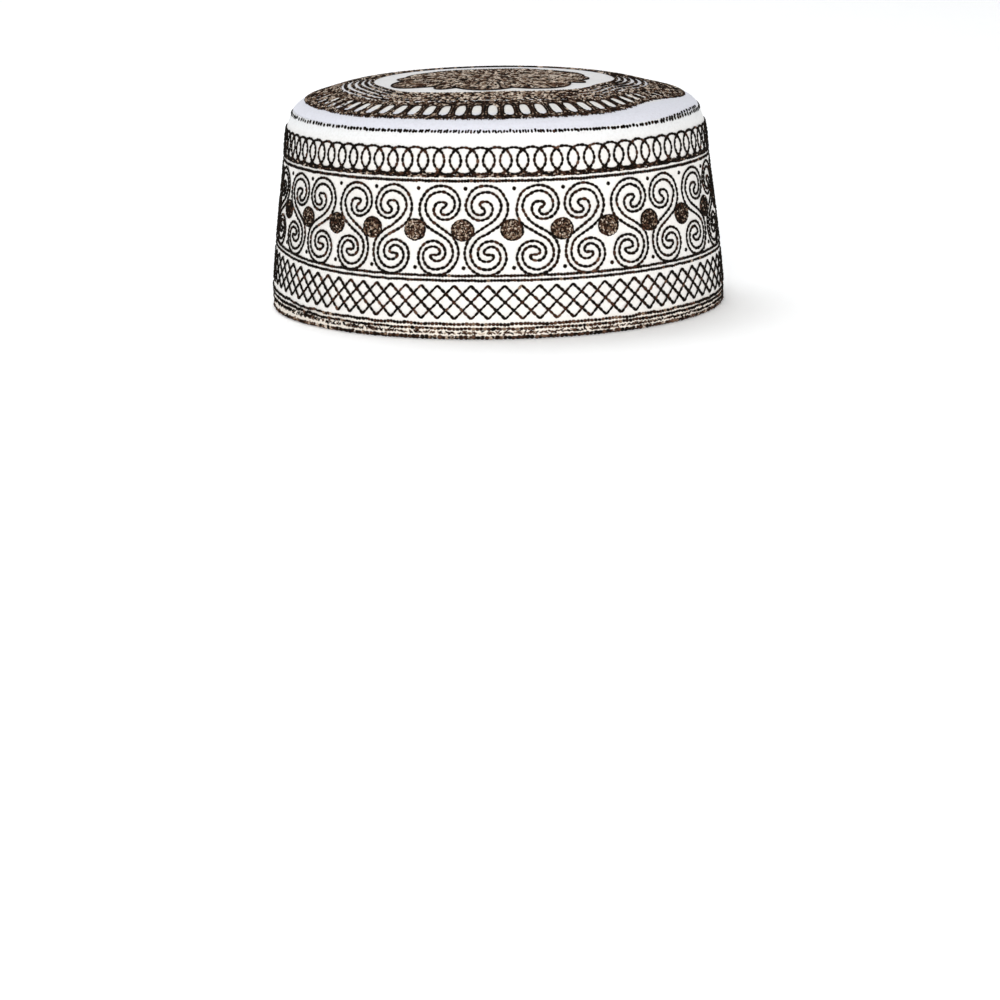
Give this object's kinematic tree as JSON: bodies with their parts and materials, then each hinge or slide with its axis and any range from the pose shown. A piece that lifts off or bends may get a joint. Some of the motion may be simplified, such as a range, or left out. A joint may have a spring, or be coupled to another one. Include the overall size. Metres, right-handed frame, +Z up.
{
  "type": "prayer cap",
  "caption": "Round embroidered prayer cap with a stiff tapered side band, a shallow domed crown and a stitched hem.",
  "frame": {"origin": "centre of the rim's underside, on the surface that the cap rests on", "axes": "+Z up through the middle of the crown; -Y to the front of the picture"},
  "size_m": [0.1886, 0.1886, 0.095],
  "materials": {
    "band_cloth": "matte white cotton with dark brown embroidery",
    "crown_cloth": "matte white cotton with dark brown embroidery",
    "edge_thread": "matte dark brown overlocked thread"
  },
  "bodies": {
    "root": {"side_band": "band_cloth", "crown": "crown_cloth", "hem_edging": "edge_thread"}
  },
  "joints": []
}
